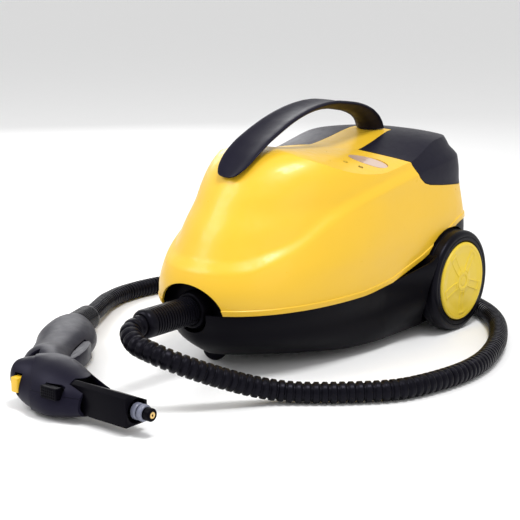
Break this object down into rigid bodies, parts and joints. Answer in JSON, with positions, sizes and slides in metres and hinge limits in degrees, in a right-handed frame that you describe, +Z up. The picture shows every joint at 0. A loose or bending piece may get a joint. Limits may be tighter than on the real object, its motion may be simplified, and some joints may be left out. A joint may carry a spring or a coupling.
{
  "type": "canister steam cleaner with hose and steam gun",
  "caption": "Wheeled canister steam cleaner with a yellow shell, dark arched carrying handle and rear lid, a corrugated steam hose and a trigger steam gun.",
  "frame": {"origin": "floor level under the middle of the footprint of the machine and its gun, the hose and its two sleeves left out", "axes": "+X towards the flank that faces the observer on the right, -Y towards the nose where the hose leaves, +Z up"},
  "size_m": [0.5834, 0.7136, 0.3029],
  "materials": {
    "shell_yellow": "satin moulded",
    "hub_yellow": "satin moulded",
    "lid_slate": "fine grain",
    "black_plastic": "fine grain",
    "rubber_black": "matte",
    "steel": "drawn",
    "brass": "turned brass",
    "nozzle_grey": "satin",
    "cream_plastic": "moulded",
    "lamp_red": "clear",
    "lens_clear": "polished"
  },
  "bodies": {
    "machine": {"boiler": "steel", "boiler_cradle_front": "steel", "boiler_cradle_rear": "steel", "carry_handle": "lid_slate", "chassis_base": "black_plastic", "chassis_screw_1": "steel", "chassis_screw_2": "steel", "chassis_screw_3": "steel", "chassis_screw_4": "steel", "control_thermostat": "cream_plastic", "cord_gland": "rubber_black", "filler_neck": "brass", "heating_element": "steel", "indicator_lens": "lens_clear", "lamp_power": "lamp_red", "lamp_ready": "cream_plastic", "lid_hinge_pin": "steel", "nose_bezel": "black_plastic", "outlet_collar": "black_plastic", "outlet_pipe": "brass", "pressure_switch": "cream_plastic", "rear_axle": "steel", "rear_deck": "black_plastic", "safety_thermostat": "cream_plastic", "safety_valve": "brass", "sleeve_gun": "rubber_black", "sleeve_machine": "rubber_black", "solenoid_valve": "nozzle_grey", "steam_hose": "rubber_black", "steam_pipe": "brass", "terminal_block": "cream_plastic", "upper_shell": "shell_yellow"},
    "lid": {"rear_lid": "lid_slate"},
    "cap_carrier": {"cap_gasket": "rubber_black"},
    "cap": {"cap_knob": "black_plastic", "cap_core": "brass"},
    "wheel_left": {"tyre_left": "rubber_black", "rim_left": "black_plastic", "hub_cap_left": "hub_yellow"},
    "wheel_right": {"tyre_right": "rubber_black", "rim_right": "black_plastic", "hub_cap_right": "hub_yellow"},
    "caster_swivel": {"caster_fork": "black_plastic", "caster_pin": "steel"},
    "caster_roller": {"caster_wheel": "rubber_black"},
    "gun": {"gun_shell_lower": "lid_slate", "gun_shell_upper": "lid_slate", "gun_end_cap": "lid_slate", "connector_body": "black_plastic", "nozzle_tube": "black_plastic", "nozzle_ring_1": "nozzle_grey", "nozzle_ring_2": "nozzle_grey", "steam_jet": "brass", "trigger_pin": "steel", "microswitch": "cream_plastic"},
    "trigger": {"gun_trigger": "lid_slate"},
    "lock": {"lock_slider": "shell_yellow"},
    "button": {"release_button": "black_plastic"}
  },
  "joints": [
    {"name": "wheel_left_spin", "type": "hinge", "parent": "machine", "child": "wheel_left", "pos_m": [-0.08888, 0.24889, 0.06595], "axis": [1, 0, 0], "continuous": true},
    {"name": "wheel_right_spin", "type": "hinge", "parent": "machine", "child": "wheel_right", "pos_m": [0.16312, 0.24889, 0.06595], "axis": [1, 0, 0], "continuous": true},
    {"name": "caster_swivel", "type": "hinge", "parent": "machine", "child": "caster_swivel", "pos_m": [0.03712, -0.03611, 0.02995], "axis": [0, 0, 1], "continuous": true},
    {"name": "caster_spin", "type": "hinge", "parent": "caster_swivel", "child": "caster_roller", "pos_m": [0.01468, -0.05448, 0.01445], "axis": [0.6334, -0.7738, 0], "continuous": true},
    {"name": "lid_hinge", "type": "hinge", "parent": "machine", "child": "lid", "pos_m": [0.03712, 0.30839, 0.18895], "axis": [-1, 0, 0], "range_deg": [0, 75]},
    {"name": "cap_lift", "type": "slide", "parent": "machine", "child": "cap_carrier", "axis": [0, 0, 1], "range_m": [0, 0.009]},
    {"name": "cap_turn", "type": "hinge", "parent": "cap_carrier", "child": "cap", "pos_m": [0.03712, 0.26989, 0.20995], "axis": [0, 0, 1], "range_deg": [0, 1080]},
    {"name": "gun_lift", "type": "slide", "parent": "machine", "child": "gun", "axis": [0, 0, 1], "range_m": [0, 0.15]},
    {"name": "trigger_squeeze", "type": "hinge", "parent": "gun", "child": "trigger", "pos_m": [-0.03537, -0.24892, 0.02855], "axis": [0, 0, 1], "range_deg": [0, 9], "stiffness_Nm_per_rad": 0.6},
    {"name": "lock_slide", "type": "slide", "parent": "gun", "child": "lock", "axis": [0, 0, 1], "range_m": [-0.003, 0.003]},
    {"name": "button_press", "type": "slide", "parent": "gun", "child": "button", "axis": [0, 1, 0], "range_m": [0, 0.003], "stiffness_N_per_m": 400}
  ],
  "couplings": [
    {"joint": "cap_lift", "follows": "cap_turn", "m_per_rad": 0.00047746}
  ]
}
